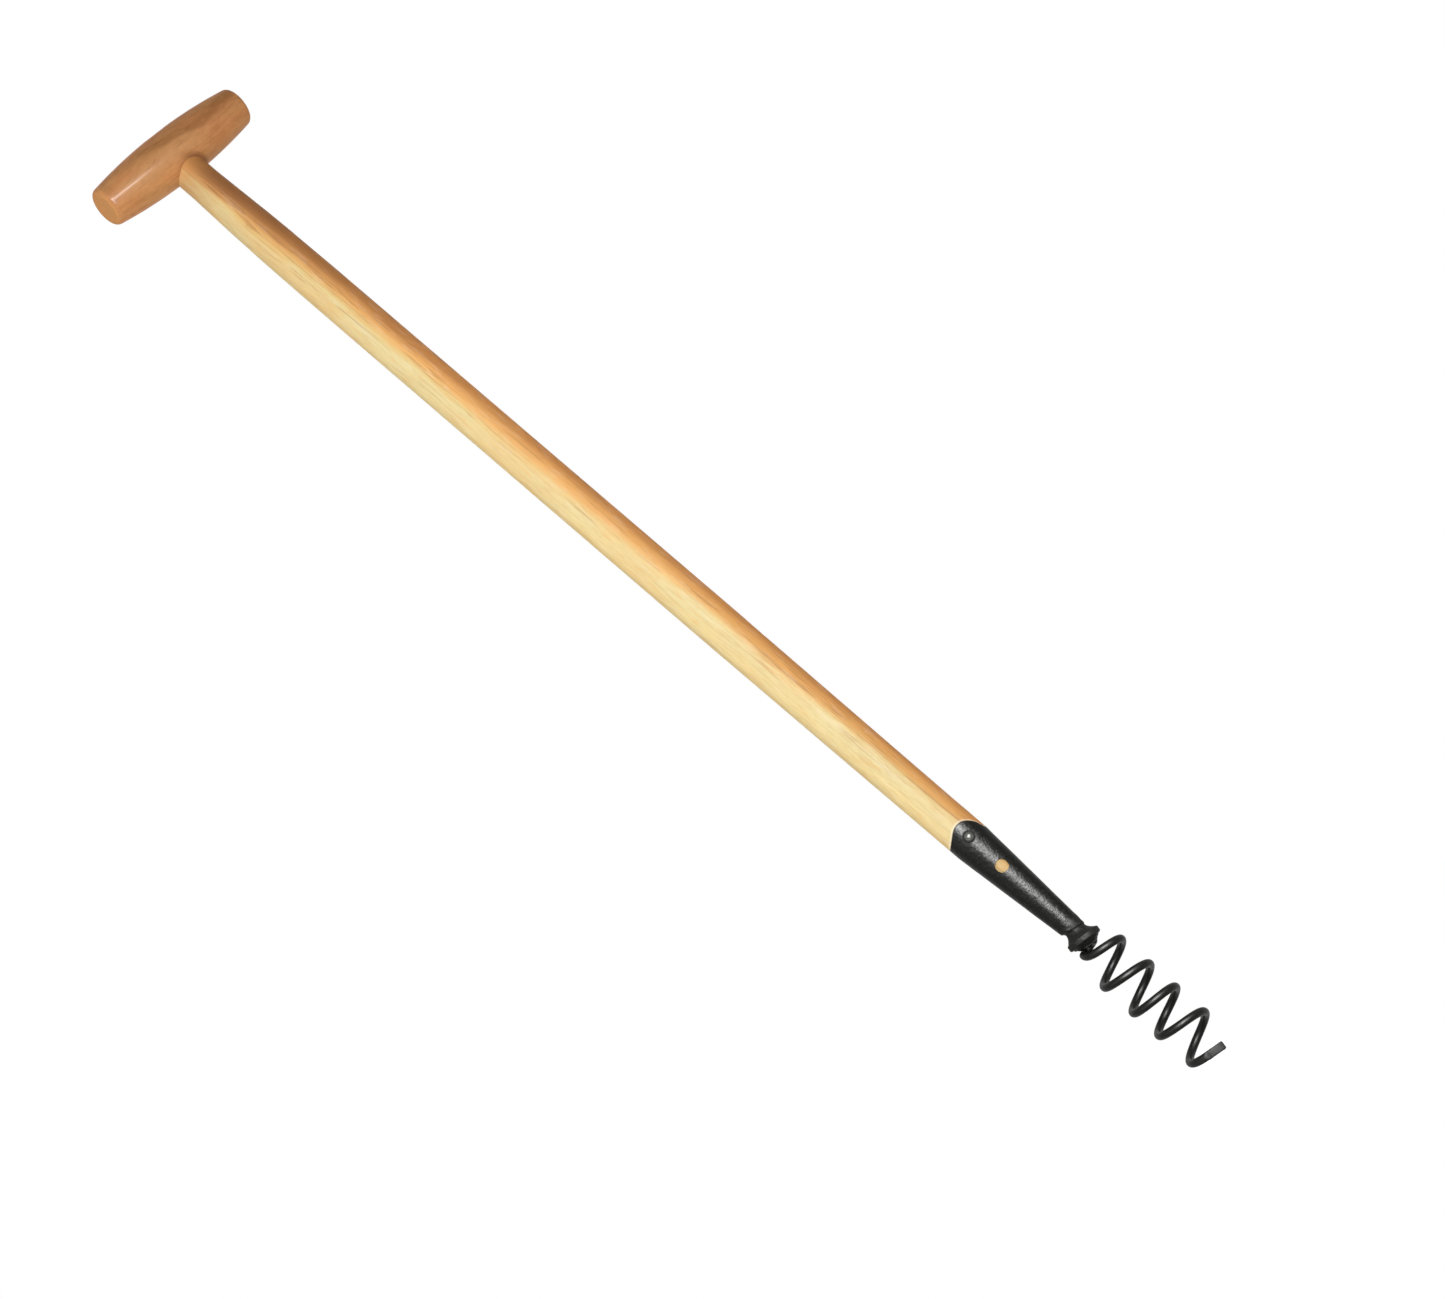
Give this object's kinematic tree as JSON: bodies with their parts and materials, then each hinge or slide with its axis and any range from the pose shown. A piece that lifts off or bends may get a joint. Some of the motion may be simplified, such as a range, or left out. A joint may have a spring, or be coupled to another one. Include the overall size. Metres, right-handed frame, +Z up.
{
  "type": "corkscrew weeder",
  "caption": "Long garden hand tool: wooden cross grip and shaft over a steel socket that ends in a coiled rod, turned into the soil to pull weeds by the root.",
  "frame": {"origin": "on the shaft's axis, level with the lowest point of the coil's tip", "axes": "+Z up the shaft from the coil to the cross grip, +X along the cross grip, -Y towards the front"},
  "size_m": [0.135, 0.041, 1.0158],
  "materials": {
    "grip_wood": "brown lacquered hardwood, satin",
    "shaft_wood": "pale lacquered hardwood, satin",
    "wedge_wood": "darker hardwood, lacquered over",
    "black_steel": "black coating on steel, slightly uneven, satin",
    "rivet_steel": "black coating worn to grey",
    "coil_steel": "black coating on round steel, satin",
    "weld_steel": "black coating over a rough weld"
  },
  "bodies": {
    "root": {"cross_grip": "grip_wood", "shaft": "shaft_wood", "tenon_wedge": "wedge_wood", "socket": "black_steel", "socket_rivet": "rivet_steel", "corkscrew": "coil_steel", "root_weld": "weld_steel"}
  },
  "joints": []
}
